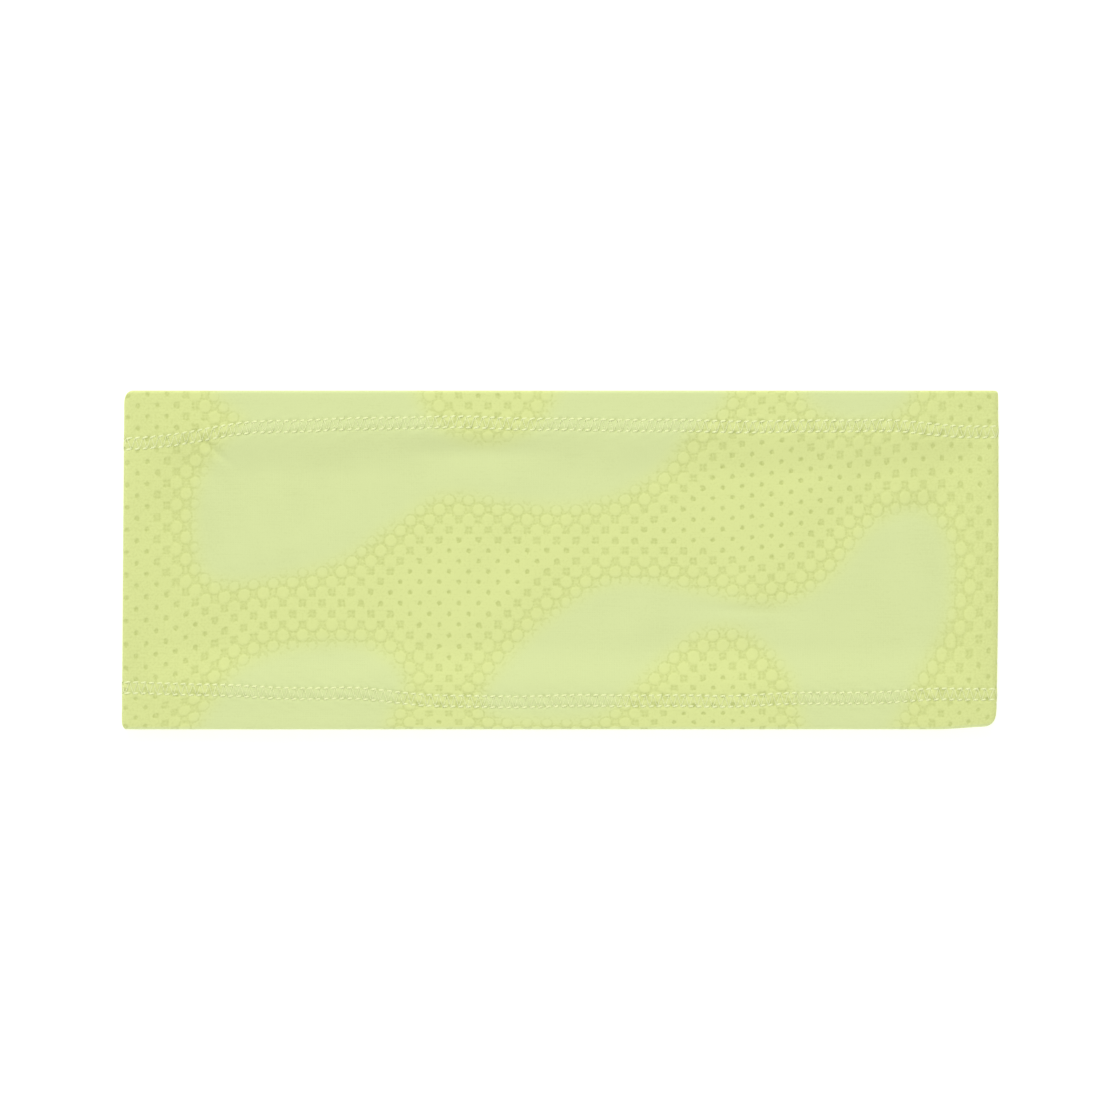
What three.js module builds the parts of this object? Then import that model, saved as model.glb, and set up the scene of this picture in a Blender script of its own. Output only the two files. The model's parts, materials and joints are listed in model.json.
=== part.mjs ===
// A wide sports headband: a seamless knitted tube with both edges turned in and coverstitched, and
// pressed flat so that it lies folded at its left and right ends.
//
// Millimetres, +Z up. X runs along the folded band, Y from its bottom hem to its top hem, and the
// back of the loop lies on z = 0. The origin is the middle of the underside.
//
// The loop has a middle plane, half way between its front and back layers. Every piece is a section
// in (y, r), where r is the distance out from that plane, carried along its own stretch of the loop:
// over the front, round a fold, or along the back. Cloth bends anywhere, so each layer is made as
// straight spans that hinge on the middle plane, and the two folds are pieces of their own.

import * as THREE from "three";

// ---- Driving dimensions ----

const bandWidth = 233; // fold to fold, lying flat
const bandHeight = 90; // hem edge to hem edge
const knitThickness = 0.8;
const turnGap = 0.1; // between the knit and its turned-in edge
const loopGap = 0.2; // between the front and the back, where their hems meet
const hingeGap = 0.3; // between the ends of neighbouring spans

const rowInset = 8; // hem edge to the outer needle row
const rowSpacing = 2.9; // outer to inner needle row
const turnAllowance = 1.1; // how far the turned-in edge reaches past the inner row
const threadGap = 0.1; // round a thread in its groove

const needleThread = { width: 0.5, thickness: 0.2 };
const coverThreadThickness = 0.12; // zigzags between the rows, on the outside
const looperThread = { overhang: 0.65, thickness: 0.2 }; // locks both rows, on the inside

const bightSteps = 8; // flats that make the half-round edge of a hem
const foldSteps = 12; // flats that make each half-round fold

// ---- Levels, as distances out from the loop's middle plane ----

const turnInner = loopGap / 2;
const turnOuter = turnInner + knitThickness;
const knitInner = turnOuter + turnGap;
const knitOuter = knitInner + knitThickness;
const middleZ = knitOuter; // the back's outer face lies on z = 0

// ---- Places along and across the band ----

const foldX = bandWidth / 2 - knitOuter - hingeGap / 2; // the axis that each fold turns on
const hingeX = foldX / 3; // three equal spans to a layer
const edgeY = bandHeight / 2;
const outerRowY = edgeY - rowInset;
const innerRowY = outerRowY - rowSpacing;
const stitchMiddleY = (outerRowY + innerRowY) / 2;
const turnEndY = innerRowY - turnAllowance;

const stitchHalf = (rowSpacing + needleThread.width) / 2;
const looperHalf = rowSpacing / 2 + looperThread.overhang;
const needleFloor = knitOuter - needleThread.thickness;

// ---- The loop's path ----

// A station is a place on the middle plane and the way out from it there. Stations are listed in
// the loop's own direction: +X over the front, round the right fold, -X along the back.

const onFront = (x) => ({ x, z: middleZ, outX: 0, outZ: 1 });
const onBack = (x) => ({ x, z: middleZ, outX: 0, outZ: -1 });

const spans = {
  left: [-foldX + hingeGap / 2, -hingeX - hingeGap / 2],
  centre: [-hingeX + hingeGap / 2, hingeX - hingeGap / 2],
  right: [hingeX + hingeGap / 2, foldX - hingeGap / 2],
};

// The half turn of a fold, a hinge gap clear of its spans. side is 1 at the right, -1 at the left.
function foldStations(side) {
  return Array.from({ length: foldSteps + 1 }, (_, step) => {
    const turn = (Math.PI * step) / foldSteps;
    return {
      x: side * (foldX + hingeGap / 2),
      z: middleZ,
      outX: side * Math.sin(turn),
      outZ: side * Math.cos(turn),
    };
  });
}

// A closed section [[y, r], ...], anticlockwise, carried along stations and closed at both ends.
class LoopSweepGeometry extends THREE.BufferGeometry {
  constructor(section, stations) {
    super();
    const outline = section.map(([y, r]) => new THREE.Vector2(y, r));
    const position = stations.flatMap(({ x, z, outX, outZ }) =>
      section.flatMap(([y, r]) => [x + outX * r, y, z + outZ * r]),
    );
    const count = section.length;
    const last = (stations.length - 1) * count;
    const index = [];
    for (let ring = 0; ring < last; ring += count) {
      for (let i = 0; i < count; i++) {
        const a = ring + i;
        const b = ring + ((i + 1) % count);
        index.push(a, b, b + count, a, b + count, a + count);
      }
    }
    for (const [a, b, c] of THREE.ShapeUtils.triangulateShape(outline, [])) {
      index.push(c, b, a, last + a, last + b, last + c);
    }
    this.setAttribute("position", new THREE.Float32BufferAttribute(position, 3));
    this.setIndex(index);
    this.computeVertexNormals();
  }
}

// ---- Sections ----

// The same outline seen from the other hem: y turns over, so the order is turned back.
const mirrored = (outline) => outline.map(([y, r]) => [-y, r]).reverse();

const rectangle = (lowY, highY, lowR, highR) => [
  [lowY, lowR],
  [highY, lowR],
  [highY, highR],
  [lowY, highR],
];

// The top half of the knit, from the middle of its inner face to the middle of its outer face: in
// behind the turned-in edge, back along that edge's inner face, round the bight and over the grooves
// that the threads lie in.
function topHalfOfKnit() {
  const bight = (knitOuter - turnInner) / 2;
  const bightY = edgeY - bight;
  const bightR = turnInner + bight;
  const looperLow = stitchMiddleY - looperHalf - threadGap;
  const looperHigh = stitchMiddleY + looperHalf + threadGap;
  const looperFloor = turnInner + looperThread.thickness + threadGap;
  const stitchLow = stitchMiddleY - stitchHalf - threadGap;
  const stitchHigh = stitchMiddleY + stitchHalf + threadGap;
  const stitchFloor = needleFloor - threadGap;
  const edge = Array.from({ length: bightSteps + 1 }, (_, step) => {
    const turn = (Math.PI * step) / bightSteps;
    return [bightY + bight * Math.sin(turn), bightR - bight * Math.cos(turn)];
  });
  return [
    [bightY, knitInner],
    [bightY, turnOuter],
    [turnEndY, turnOuter],
    [turnEndY, turnInner],
    [looperLow, turnInner],
    [looperLow, looperFloor],
    [looperHigh, looperFloor],
    [looperHigh, turnInner],
    ...edge,
    [stitchHigh, knitOuter],
    [stitchHigh, stitchFloor],
    [stitchLow, stitchFloor],
    [stitchLow, knitOuter],
  ];
}

// The whole knit, hem to hem: one cloth, both edges turned in.
const knitSection = [...topHalfOfKnit(), ...mirrored(topHalfOfKnit())];

const needleSection = (rowY) =>
  rectangle(
    rowY - needleThread.width / 2,
    rowY + needleThread.width / 2,
    needleFloor,
    needleFloor + needleThread.thickness,
  );

const threadSections = {
  outer_needle_thread: needleSection(outerRowY),
  inner_needle_thread: needleSection(innerRowY),
  cover_thread: rectangle(
    innerRowY + needleThread.width / 2 + threadGap,
    outerRowY - needleThread.width / 2 - threadGap,
    needleFloor,
    needleFloor + coverThreadThickness,
  ),
  looper_thread: rectangle(
    stitchMiddleY - looperHalf,
    stitchMiddleY + looperHalf,
    turnInner,
    turnInner + looperThread.thickness,
  ),
};

// Round a fold the stitching is too short to take apart: needle rows with the cover thread between.
const foldStitchSection = [
  [stitchMiddleY - stitchHalf, needleFloor],
  [stitchMiddleY + stitchHalf, needleFloor],
  [stitchMiddleY + stitchHalf, knitOuter],
  [outerRowY - needleThread.width / 2, knitOuter],
  [outerRowY - needleThread.width / 2, needleFloor + coverThreadThickness],
  [innerRowY + needleThread.width / 2, needleFloor + coverThreadThickness],
  [innerRowY + needleThread.width / 2, knitOuter],
  [stitchMiddleY - stitchHalf, knitOuter],
];

// ---- Finishes ----

const limeKnit = () =>
  new THREE.MeshStandardMaterial({ color: 0xdae39b, roughness: 0.85, metalness: 0 });
const limeThread = () =>
  new THREE.MeshStandardMaterial({ color: 0xe2eaa4, roughness: 0.55, metalness: 0 });

// ---- Assembly ----

const headband = new THREE.Group();

function addPiece(name, section, stations, material) {
  const piece = new THREE.Mesh(new LoopSweepGeometry(section, stations), material);
  piece.name = name;
  headband.add(piece);
}

function addToBothHems(name, topSection, stations) {
  addPiece(`top_${name}`, topSection, stations, limeThread());
  addPiece(`bottom_${name}`, mirrored(topSection), stations, limeThread());
}

function addSpan(place, stations) {
  addPiece(`knit_${place}`, knitSection, stations, limeKnit());
  for (const [thread, section] of Object.entries(threadSections)) {
    addToBothHems(`${thread}_${place}`, section, stations);
  }
}

function addFold(place, side) {
  const stations = foldStations(side);
  addPiece(`knit_${place}`, knitSection, stations, limeKnit());
  addToBothHems(`stitching_${place}`, foldStitchSection, stations);
}

for (const [place, [low, high]] of Object.entries(spans)) {
  addSpan(`front_${place}`, [onFront(low), onFront(high)]);
  addSpan(`back_${place}`, [onBack(high), onBack(low)]);
}
addFold("left_fold", -1);
addFold("right_fold", 1);

export default headband;
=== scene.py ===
"""A wide knitted sports headband lying flat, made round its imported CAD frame.

The headband is one seamless knitted tube whose two edges are turned in and coverstitched. It is
described in loop coordinates: u runs along the cloth round the loop, v across it from the bottom
hem to the top hem, and r is the distance out from the loop's middle plane. Everything is in metres.
"""

import json
import logging
import math
from collections.abc import Sequence
from dataclasses import dataclass, field
from enum import Enum
from typing import Any, Protocol

import bpy
import numpy as np
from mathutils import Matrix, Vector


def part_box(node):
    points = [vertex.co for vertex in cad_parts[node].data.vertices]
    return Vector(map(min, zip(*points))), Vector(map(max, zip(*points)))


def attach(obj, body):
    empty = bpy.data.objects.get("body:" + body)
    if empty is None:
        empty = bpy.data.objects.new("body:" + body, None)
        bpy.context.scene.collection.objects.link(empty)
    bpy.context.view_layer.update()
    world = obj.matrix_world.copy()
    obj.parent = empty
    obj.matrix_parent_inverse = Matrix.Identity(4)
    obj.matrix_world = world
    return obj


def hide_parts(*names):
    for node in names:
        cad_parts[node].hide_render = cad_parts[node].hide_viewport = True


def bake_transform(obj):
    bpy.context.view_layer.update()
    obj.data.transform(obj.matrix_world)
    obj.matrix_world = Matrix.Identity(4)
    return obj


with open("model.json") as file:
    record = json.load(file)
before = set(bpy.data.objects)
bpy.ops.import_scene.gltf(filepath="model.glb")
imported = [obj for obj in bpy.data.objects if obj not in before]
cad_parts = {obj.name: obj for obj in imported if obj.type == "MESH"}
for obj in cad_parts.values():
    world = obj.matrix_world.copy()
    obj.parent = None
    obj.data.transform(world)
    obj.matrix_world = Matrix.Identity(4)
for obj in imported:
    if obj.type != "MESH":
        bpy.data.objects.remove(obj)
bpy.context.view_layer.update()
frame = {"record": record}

MM = 0.001
TURN = 2 * math.pi
KNIT_THICKNESS = 0.8 * MM
log = logging.getLogger("headband")


# ---- Arithmetic shared by the meshes and the shaders ----


class Maths(Protocol):
    """What a pattern's formula needs, on arrays for a mesh and on sockets for a shader."""

    def smooth(self, value: Any, low: float, high: float) -> Any:
        """0 below low and 1 above high, with a smooth rise between."""

    def nearest(self, value: Any) -> Any:
        """The nearest whole number."""

    def size(self, value: Any) -> Any:
        """The value without its sign."""

    def root(self, value: Any) -> Any:
        """The square root."""

    def larger(self, one: Any, other: Any) -> Any:
        """The larger of two values."""

    def wave(self, value: Any) -> Any:
        """The cosine of a value in whole turns."""


class ArrayMaths:
    """The formulas' arithmetic on numpy arrays."""

    def smooth(self, value: np.ndarray, low: float, high: float) -> np.ndarray:
        """0 below low and 1 above high: 3t^2 - 2t^3 between."""
        t = np.clip((value - low) / (high - low), 0.0, 1.0)
        return t * t * (3.0 - 2.0 * t)

    def nearest(self, value: np.ndarray) -> np.ndarray:
        """The nearest whole number."""
        return np.round(value)

    def size(self, value: np.ndarray) -> np.ndarray:
        """The value without its sign."""
        return np.abs(value)

    def root(self, value: np.ndarray) -> np.ndarray:
        """The square root."""
        return np.sqrt(value)

    def larger(self, one: np.ndarray, other: np.ndarray) -> np.ndarray:
        """The larger of two values."""
        return np.maximum(one, other)

    def wave(self, value: np.ndarray) -> np.ndarray:
        """The cosine of a value in whole turns."""
        return np.cos(TURN * value)


ARRAYS = ArrayMaths()


class Value:
    """A shader socket that takes Python arithmetic; each operator adds its Math node."""

    def __init__(self, book: "ShaderBook", socket: bpy.types.NodeSocket) -> None:
        """Wraps a socket.

        Args:
            book: the material that the socket is in.
            socket: the output of one of its nodes.
        """
        self.book = book
        self.socket = socket

    def __add__(self, other: Any) -> "Value":
        """self + other."""
        return self.book.maths("ADD", self, other)

    __radd__ = __add__

    def __mul__(self, other: Any) -> "Value":
        """self * other."""
        return self.book.maths("MULTIPLY", self, other)

    __rmul__ = __mul__

    def __sub__(self, other: Any) -> "Value":
        """self - other."""
        return self.book.maths("SUBTRACT", self, other)

    def __rsub__(self, other: Any) -> "Value":
        """other - self."""
        return self.book.maths("SUBTRACT", other, self)

    def __truediv__(self, other: Any) -> "Value":
        """self / other."""
        return self.book.maths("DIVIDE", self, other)

    def __pow__(self, other: Any) -> "Value":
        """self to the power other."""
        return self.book.maths("POWER", self, other)


class ShaderBook:
    """One material's node tree, written with Python expressions; also the shader's Maths."""

    def __init__(self, name: str) -> None:
        """Starts an empty material.

        Args:
            name: the material's name.
        """
        self.material = bpy.data.materials.new(name)
        self.material.use_nodes = True
        self.tree = self.material.node_tree
        self.tree.nodes.clear()

    def node(self, kind: str, settings: dict[str, Any], inputs: dict[Any, Any], out: Any = 0) -> Value:
        """Adds a node.

        Args:
            kind: the node's type.
            settings: its properties, set before its sockets.
            inputs: value or link of each socket, by name or number.
            out: name or number of the output wanted.
        Returns:
            That output.
        """
        node = self.tree.nodes.new(kind)
        for name, setting in settings.items():
            setattr(node, name, setting)
        for key, given in inputs.items():
            if isinstance(given, Value):
                self.tree.links.new(given.socket, node.inputs[key])
            else:
                node.inputs[key].default_value = given
        return Value(self, node.outputs[out])

    def maths(self, operation: str, *terms: Any) -> Value:
        """A Math node of one operation on its terms."""
        return self.node("ShaderNodeMath", {"operation": operation}, dict(enumerate(terms)))

    def smooth(self, value: Value, low: float, high: float) -> Value:
        """0 below low and 1 above high, with a smooth rise between."""
        limits = {0: value, 1: low, 2: high}
        return self.node("ShaderNodeMapRange", {"interpolation_type": "SMOOTHSTEP"}, limits)

    def nearest(self, value: Value) -> Value:
        """The nearest whole number."""
        return self.maths("ROUND", value)

    def size(self, value: Value) -> Value:
        """The value without its sign."""
        return self.maths("ABSOLUTE", value)

    def root(self, value: Value) -> Value:
        """The square root."""
        return self.maths("SQRT", value)

    def larger(self, one: Value, other: Any) -> Value:
        """The larger of two values."""
        return self.maths("MAXIMUM", one, other)

    def wave(self, value: Value) -> Value:
        """The cosine of a value in whole turns."""
        return self.maths("COSINE", value * TURN)

    def mixed(self, factor: Any, one: Any, other: Any) -> Value:
        """A colour part of the way from one to other."""
        return self.node("ShaderNodeMix", {"data_type": "RGBA"}, {0: factor, 6: one, 7: other}, 2)

    def pair(self, layer: str) -> tuple[Value, Value]:
        """The two coordinates of a UV layer.

        Args:
            layer: the layer's name.
        Returns:
            Its first and its second coordinate.
        """
        both = self.node("ShaderNodeUVMap", {"uv_map": layer}, {})
        apart = self.node("ShaderNodeSeparateXYZ", {}, {0: both})
        return apart, Value(self, apart.socket.node.outputs[1])

    def attribute(self, name: str) -> Value:
        """A number kept on the mesh's points."""
        return self.node("ShaderNodeAttribute", {"attribute_name": name}, {}, "Fac")

    def noise(self, coordinate: Value, scale: float, detail: float) -> Value:
        """Soft noise from 0 to 1."""
        inputs = {"Vector": coordinate, "Scale": scale, "Detail": detail}
        return self.node("ShaderNodeTexNoise", {}, inputs)

    def bump(self, height: Value, distance: float) -> Value:
        """A normal bent by a height, where height 1 stands distance proud."""
        return self.node("ShaderNodeBump", {}, {"Height": height, "Distance": distance, "Strength": 1.0})

    def finish(self, inputs: dict[str, Any]) -> bpy.types.Material:
        """Ends the material in a Principled shader.

        Args:
            inputs: the value or link of each of its sockets, by name.
        Returns:
            The finished material.
        """
        shader = self.node("ShaderNodeBsdfPrincipled", {}, inputs)
        output = self.tree.nodes.new("ShaderNodeOutputMaterial")
        self.tree.links.new(shader.socket, output.inputs["Surface"])
        return self.material


def linear(red: float, green: float, blue: float) -> tuple[float, float, float, float]:
    """A display colour as the linear colour that shaders take.

    A dark part is divided by 12.92; any other is ((part + 0.055) / 1.055) ^ 2.4.

    Args:
        red: from 0 to 255.
        green: the same.
        blue: the same.
    Returns:
        Red, green and blue from 0 to 1, and an alpha of 1.
    """
    parts = np.array([red, green, blue]) / 255
    low = parts / 12.92
    high = ((parts + 0.055) / 1.055) ** 2.4
    return (*np.where(parts <= 0.04045, low, high).tolist(), 1.0)


# ---- The loop ----


@dataclass(frozen=True)
class LoopPath:
    """The flattened loop that the cloth follows: two straight layers and two half-round folds."""

    fold_x: float  # the middle of each fold's half turn
    hinge_x: float  # where each layer bends as the loop opens
    middle_z: float
    outer: float  # the cloth's outer face, from the middle plane
    inner: float  # its inner face
    edge: float  # v of the top hem's edge

    @classmethod
    def from_frame(cls) -> "LoopPath":
        """Reads the loop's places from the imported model.

        Returns:
            The loop's path.
        """
        fold_low, fold_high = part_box("knit_right_fold")
        middle_z = (fold_low[2] + fold_high[2]) / 2
        joints = {joint["name"]: joint for joint in frame["record"]["behaviour"]["joints"]}
        outer = fold_high[2] - middle_z
        return cls(
            fold_x=fold_low[0],
            hinge_x=joints["back_right_bend"]["pos_m"][0],
            middle_z=middle_z,
            outer=outer,
            inner=outer - KNIT_THICKNESS,
            edge=fold_high[1],
        )

    @property
    def wrap(self) -> float:
        """Length of cloth round one fold, taken at the middle of its thickness."""
        return math.pi * (self.outer + self.inner) / 2

    @property
    def length(self) -> float:
        """Length of cloth round the whole loop."""
        return 4 * self.fold_x + 2 * self.wrap

    @property
    def apex(self) -> float:
        """u half way round a fold."""
        return self.fold_x + self.wrap / 2

    def foot(self, u: np.ndarray) -> np.ndarray:
        """x of a place on the loop's middle plane; it stays at a fold's centre all round the fold."""
        past = np.maximum(np.abs(u) - self.fold_x, 0.0)
        return np.sign(u) * (np.minimum(np.abs(u), self.fold_x) - np.maximum(past - self.wrap, 0.0))

    def place(self, u: np.ndarray, v: np.ndarray, r: np.ndarray) -> np.ndarray:
        """Points of loop coordinates in the frame.

        On the front x is u. Past a fold's centre the cloth turns about it by pi for each wrap, and
        then runs back along x: (x, z) = centre + r * (sin turn, cos turn), plus the way along the back.

        Args:
            u: along the loop, from minus half its length to half.
            v: across the band.
            r: out from the middle plane.
        Returns:
            An array of x, y, z in its last axis.
        """
        past = np.maximum(np.abs(u) - self.fold_x, 0.0)
        turn = np.minimum(past / self.wrap, 1.0) * math.pi
        x = self.foot(u) + np.sign(u) * r * np.sin(turn)
        z = self.middle_z + r * np.cos(turn)
        return np.stack(np.broadcast_arrays(x, v, z), axis=-1)


@dataclass(frozen=True)
class HemPlan:
    """Where a hem's rows of stitches run and how deep its turned-in edge is."""

    outer_inset: float  # hem's edge to the outer needle row
    inner_inset: float
    past: float = 1.1 * MM  # how far the turned-in edge reaches past the inner row
    stitches: int = 222  # round the loop

    @classmethod
    def from_frame(cls) -> "HemPlan":
        """Reads the rows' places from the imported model.

        Returns:
            The plan of both hems.
        """
        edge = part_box("knit_front_centre")[1][1]
        rows = [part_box(f"top_{row}_needle_thread_front_centre") for row in ("outer", "inner")]
        outer, inner = (edge - (low[1] + high[1]) / 2 for low, high in rows)
        return cls(outer, inner)

    @property
    def depth(self) -> float:
        """Hem's edge to the end of the turned-in edge."""
        return self.inner_inset + self.past

    @property
    def middle_inset(self) -> float:
        """Hem's edge to half way between the rows."""
        return (self.outer_inset + self.inner_inset) / 2

    def wander(self, x: np.ndarray, side: np.ndarray) -> np.ndarray:
        """How far both rows, and the turned-in edge with them, stray towards +v.

        The top hem is sewn deeper towards both folds and shallower left of the middle. The bottom
        one is deeper towards the left fold and shallower from the middle on. Both waver slightly.

        Args:
            x: where along the flattened band.
            side: 1 on the top hem, -1 on the bottom one.
        Returns:
            Metres towards +v.
        """
        top = -5.1 * ARRAYS.smooth(-x, 75 * MM, 119 * MM) - 1.4 * ARRAYS.smooth(x, 84 * MM, 108 * MM)
        top = top + 1.1 * np.exp(-(((x / MM + 26) / 26) ** 2))
        low = 1.45 * ARRAYS.smooth(-x, 60 * MM, 105 * MM) - 1.9 * ARRAYS.smooth(x, -58 * MM, -28 * MM)
        low = low + 0.75 * ARRAYS.smooth(x, 38 * MM, 62 * MM) + 1.2 * ARRAYS.smooth(x, 84 * MM, 104 * MM)
        waver = 0.16 * np.sin(x / (11 * MM)) + 0.09 * np.sin(x / (4.7 * MM) + 1)
        return (np.where(side > 0, top, low) + waver) * MM


class Blend(Enum):
    """How a span of cloth follows the frame's bodies."""

    RIDE = "ride"
    BEND = "bend"


@dataclass(frozen=True)
class Span:
    """A stretch of the loop that is one piece of each kind, cut where its bodies lie straight."""

    name: str
    start: float
    end: float
    bodies: tuple[str, ...]
    places: tuple[str, ...]  # the CAD places that it stands for
    hinge: float = 0.0  # x of the hinge that it bends over
    bend: float = 8 * MM  # to each side of the hinge

    @classmethod
    def bending(cls, name: str, start: float, end: float, bodies: tuple[str, str], hinge: float) -> "Span":
        """A span that bends over a hinge, and stands for the CAD pieces of the bodies it joins."""
        return cls(name, start, end, bodies, bodies, hinge)

    @property
    def blend(self) -> Blend:
        """A span on two bodies bends between them."""
        return Blend.BEND if len(self.bodies) == 2 else Blend.RIDE

    def attach(self, piece: bpy.types.Object) -> None:
        """Makes a piece ride on this span's body; a piece of a span between two bodies only has its
        transform baked.

        Args:
            piece: cloth or thread that reaches from this span's start to its end.
        """
        if self.blend is Blend.RIDE:
            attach(piece, self.bodies[0])
            return
        start = (self.hinge - self.bend, 0, 0)
        end = (self.hinge + self.bend, 0, 0)
        low, high = self.bodies
        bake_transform(piece)


def spans_of(path: LoopPath) -> list[Span]:
    """Cuts the loop into eight spans: four end at a fold, and four bend over a hinge.

    Args:
        path: the loop.
    Returns:
        The spans.
    """
    cut = 2 * path.hinge_x
    apex = path.apex
    half = path.length / 2
    turned = half - cut
    ends = [
        Span("front_left_end", -apex, -cut, ("front_left",), ("front_left",)),
        Span("front_right_end", cut, apex, ("front_right",), ("front_right",)),
        Span("back_right_end", apex, turned, ("back_right",), ("back_right", "right_fold")),
        Span("back_left_end", -turned, -apex, ("back_left",), ("back_left", "left_fold")),
    ]
    bends = [
        Span.bending("front_left_bend", -cut, 0, ("front_left", "front_centre"), -path.hinge_x),
        Span.bending("front_right_bend", 0, cut, ("front_centre", "front_right"), path.hinge_x),
        Span.bending("back_right_bend", turned, half, ("back_centre", "back_right"), path.hinge_x),
        Span.bending("back_left_bend", -half, -turned, ("back_left", "back_centre"), -path.hinge_x),
    ]
    return ends + bends


# ---- The jacquard's pattern ----


@dataclass(frozen=True)
class PlainArea:
    """One area of plain knit, as a smooth closed outline through a few points, in millimetres."""

    points: tuple[tuple[float, float], ...]

    def outline(self, steps: int = 12) -> np.ndarray:
        """The outline as short chords of a Catmull-Rom curve, which passes through every point.

        Between points b and c, with a before and d after, the curve is b + t / 2 * (c - a + t *
        (2a - 5b + 4c - d + t * (3 * (b - c) + d - a))) for t from 0 to 1.

        Args:
            steps: chords from one point to the next.
        Returns:
            The chords' ends, one a row.
        """
        given = np.array(self.points, float)
        before, after, beyond = (np.roll(given, shift, axis=0) for shift in (1, -1, -2))
        t = (np.arange(steps) / steps)[None, :, None]
        a, b, c, d = (side[:, None, :] for side in (before, given, after, beyond))
        curve = b + 0.5 * t * (c - a + t * (2 * a - 5 * b + 4 * c - d + t * (3 * (b - c) + d - a)))
        return curve.reshape(-1, 2)

    def distance(self, u: np.ndarray, v: np.ndarray) -> np.ndarray:
        """How far each place lies outside the outline, and negative inside it.

        The distance is to the nearest chord. A place is inside if a line from it towards +u crosses
        the outline an odd number of times.

        Args:
            u: a flat array of places along the loop, in millimetres.
            v: the same across the band.
        Returns:
            A flat array in millimetres.
        """
        start = self.outline()
        end = np.roll(start, -1, axis=0)
        place = np.stack([u, v], axis=-1)[:, None, :]
        along = end - start
        share = np.sum((place - start) * along, axis=-1) / np.sum(along * along, axis=-1)
        foot = start + np.clip(share, 0, 1)[..., None] * along
        gap = np.sqrt(np.min(np.sum((place - foot) ** 2, axis=-1), axis=1))
        straddles = (start[:, 1] > v[:, None]) != (end[:, 1] > v[:, None])
        rise = np.where(along[:, 1] == 0, 1, along[:, 1])
        crossing = start[:, 0] + (v[:, None] - start[:, 1]) / rise * along[:, 0]
        inside = np.sum(straddles & (u[:, None] < crossing), axis=1) % 2 == 1
        return np.where(inside, -gap, gap)


def oval(u: float, v: float, half_width: float, half_height: float) -> PlainArea:
    """A plain area outlined by an ellipse of eight points, in millimetres.

    Args:
        u: its middle along the loop.
        v: its middle across the band.
        half_width: half its size along the loop.
        half_height: half its size across the band.
    Returns:
        The area.
    """
    turns = np.arange(8) * TURN / 8
    points = zip(u + half_width * np.cos(turns), v + half_height * np.sin(turns))
    return PlainArea(tuple((float(x), float(y)) for x, y in points))


@dataclass
class PlainAreas:
    """Where the cloth is plain, as a map of the distance outside the nearest plain area."""

    path: LoopPath
    step: float = 1.0  # millimetres between the map's nodes
    areas: tuple[PlainArea, ...] = (
        PlainArea((
            (-82, 49), (-83, 37), (-90, 29), (-95, 19), (-96, 8), (-93, -3), (-80, -4), (-60, 1),
            (-45, 10.5), (-31, 18.5), (-12, 16.5), (4, 16), (20, 21), (31, 32), (35, 49),
        )),
        PlainArea((
            (-19, -38), (-12, -26), (6, -11), (20, -7), (38, -10), (57, -13), (72, -6), (84, 8),
            (95, 12), (102, 4), (102, -14), (94, -30), (84, -47), (68, -47), (62, -30), (50, -18),
            (36, -18), (22, -29), (10, -40), (-8, -41),
        )),
        PlainArea((
            (-93, -49), (-90, -37), (-83, -29), (-70, -24.5), (-53, -24), (-43, -31), (-46, -40),
            (-54, -49),
        )),
        oval(79, 48, 14, 10),
    )
    notches: tuple[PlainArea, ...] = (oval(-19.5, 48, 20.5, 18.5),)  # patterned again, inside an area
    edge: float = 62.0  # the map reaches over the turned-in edges
    half: float = field(init=False)  # half the loop's length, in millimetres
    grid: np.ndarray = field(init=False)  # the map, by place along the loop and across it

    def __post_init__(self) -> None:
        """Fills the map: the back repeats the front's areas turned half round."""
        self.half = self.path.length / 2 / MM
        us = np.arange(-self.half, self.half + self.step, self.step)
        vs = np.arange(-self.edge, self.edge + self.step, self.step)
        u, v = (axis.ravel() for axis in np.meshgrid(us, vs, indexing="ij"))
        front = self.outside(u, v)
        turned = self.outside(np.where(u > 0, self.half - u, -self.half - u), -v)
        self.grid = np.minimum(front, turned).reshape(len(us), len(vs))

    def outside(self, u: np.ndarray, v: np.ndarray) -> np.ndarray:
        """Distance outside the plain areas, less their notches.

        Args:
            u: a flat array of places along the loop, in millimetres.
            v: the same across the band.
        Returns:
            A flat array in millimetres.
        """
        plain = np.min([area.distance(u, v) for area in self.areas], axis=0)
        notch = np.min([area.distance(u, v) for area in self.notches], axis=0)
        return np.maximum(plain, -notch)

    def at(self, u: np.ndarray, v: np.ndarray) -> np.ndarray:
        """The map between its nodes, bilinearly.

        Args:
            u: along the loop, in metres.
            v: across the cloth, in metres.
        Returns:
            Millimetres outside the nearest plain area.
        """
        i = np.clip((u / MM + self.half) / self.step, 0, self.grid.shape[0] - 1.001)
        j = np.clip((v / MM + self.edge) / self.step, 0, self.grid.shape[1] - 1.001)
        low_i, low_j = i.astype(int), j.astype(int)
        i, j = i - low_i, j - low_j
        near = self.grid[low_i, low_j] * (1 - j) + self.grid[low_i, low_j + 1] * j
        far = self.grid[low_i + 1, low_j] * (1 - j) + self.grid[low_i + 1, low_j + 1] * j
        return near * (1 - i) + far * i


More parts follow.
